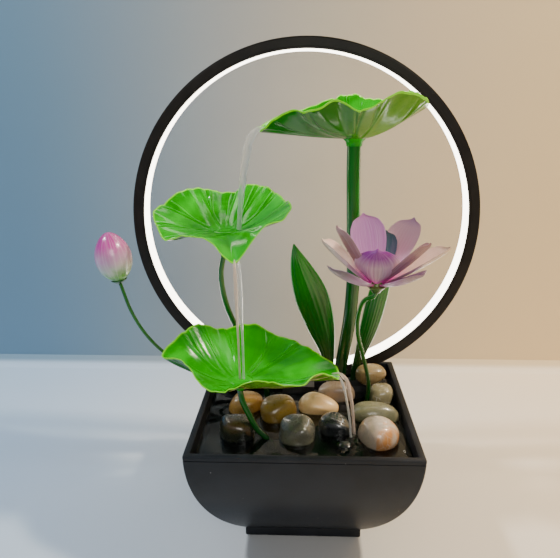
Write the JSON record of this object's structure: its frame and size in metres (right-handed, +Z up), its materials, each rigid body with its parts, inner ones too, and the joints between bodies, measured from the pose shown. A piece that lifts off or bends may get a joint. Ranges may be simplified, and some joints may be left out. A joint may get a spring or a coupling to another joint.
{
  "type": "tabletop water fountain",
  "caption": "Square bowl fountain with a lit hoop behind, cupped lotus leaves that water steps down, a flower, a bud, blade leaves and loose pebbles.",
  "frame": {"origin": "centre of the foot pad's underside, where the fountain rests", "axes": "+Z up, front of the bowl towards -Y, hoop at +Y, right side +X"},
  "size_m": [0.3343, 0.1817, 0.41],
  "materials": {
    "bowl_black": "satin",
    "pad_foam": "matte",
    "screw_steel": "satin",
    "soft_black": "matte",
    "ring_black": "satin",
    "diffuser_white": "satin",
    "strip_white": "matte",
    "chip_yellow": "glossy",
    "box_black": "satin",
    "board_green": "satin",
    "pump_black": "satin",
    "core_steel": "satin",
    "coil_copper": "satin",
    "impeller_white": "satin",
    "magnet_dark": "satin",
    "shaft_steel": "polished",
    "dial_white": "satin",
    "foam_grey": "matte",
    "hose_clear": "satin",
    "tray_black": "satin",
    "base_black": "satin",
    "riser_green": "satin",
    "leaf_green": "glossy",
    "collar_green": "satin",
    "stem_green": "satin",
    "petal_outer": "satin",
    "petal_inner": "satin",
    "flower_green": "satin",
    "bud_pink": "satin",
    "blade_green": "satin",
    "stone_pale": "polished",
    "stone_dark": "polished",
    "stone_green": "polished",
    "stone_tan": "polished",
    "stone_orange": "polished"
  },
  "bodies": {
    "bowl": {"bowl": "bowl_black", "bowl_foot": "bowl_black", "foot_pad": "pad_foam", "foot_screws": "screw_steel", "cable_grommet": "soft_black", "ring_channel": "ring_black", "ring_back_cover": "ring_black", "ring_diffuser": "diffuser_white", "light_strip": "strip_white", "light_chips": "chip_yellow", "ring_saddle": "box_black", "saddle_screws": "screw_steel", "driver_box": "box_black", "driver_lid": "box_black", "driver_board": "board_green", "pump_body": "pump_black", "pump_backplate": "pump_black", "stator_core": "core_steel", "stator_coil": "coil_copper", "impeller_shaft": "shaft_steel", "shaft_bushes": "soft_black", "pump_cover": "pump_black", "intake_grille": "pump_black", "intake_foam": "foam_grey", "suction_feet": "soft_black"},
    "impeller": {"impeller": "impeller_white", "rotor_magnet": "magnet_dark"},
    "flow_dial": {"flow_dial": "dial_white"},
    "deck": {"pebble_tray": "tray_black", "plant_base": "base_black", "riser_pipe": "riser_green", "feed_hose": "hose_clear", "bottom_leaf_stem": "stem_green", "middle_leaf_stem": "stem_green", "outer_petals": "petal_outer", "inner_petals": "petal_inner", "flower_core": "flower_green", "flower_stem": "stem_green", "lotus_bud": "bud_pink", "bud_stem": "stem_green", "left_blade": "blade_green", "right_blade": "blade_green", "pebble_01_pale": "stone_pale", "pebble_02_black": "stone_dark", "pebble_03_long": "stone_green", "pebble_04_tan": "stone_tan", "pebble_05_ochre": "stone_tan", "pebble_06_cream": "stone_pale", "pebble_07_taupe": "stone_tan", "pebble_08_yellow": "stone_orange", "pebble_09_orange": "stone_orange", "pebble_10_grey": "stone_green", "pebble_11_olive": "stone_green", "pebble_12_small": "stone_dark"},
    "top_leaf": {"top_leaf": "leaf_green", "top_leaf_collar": "collar_green"},
    "middle_leaf": {"middle_leaf": "leaf_green", "middle_leaf_collar": "collar_green"},
    "bottom_leaf": {"bottom_leaf": "leaf_green", "bottom_leaf_collar": "collar_green"}
  },
  "joints": [
    {"name": "deck_lift", "type": "slide", "parent": "bowl", "child": "deck", "axis": [0, 0, 1], "range_m": [0, 0.12]},
    {"name": "impeller_spin", "type": "hinge", "parent": "bowl", "child": "impeller", "pos_m": [0.013, 0.03, 0.037], "axis": [1, 0, 0], "continuous": true},
    {"name": "flow_dial_turn", "type": "hinge", "parent": "bowl", "child": "flow_dial", "pos_m": [0.038, 0.03, 0.037], "axis": [1, 0, 0], "range_deg": [-35, 35]},
    {"name": "top_leaf_turn", "type": "hinge", "parent": "deck", "child": "top_leaf", "pos_m": [0.04, 0.026, 0.327], "axis": [0, 0, 1], "range_deg": [-15, 15]},
    {"name": "middle_leaf_turn", "type": "hinge", "parent": "deck", "child": "middle_leaf", "pos_m": [-0.066, 0.012, 0.251], "axis": [0, 0, 1], "range_deg": [-15, 15]},
    {"name": "bottom_leaf_turn", "type": "hinge", "parent": "deck", "child": "bottom_leaf", "pos_m": [-0.051, -0.04, 0.14], "axis": [0, 0, 1], "range_deg": [-15, 15]}
  ]
}
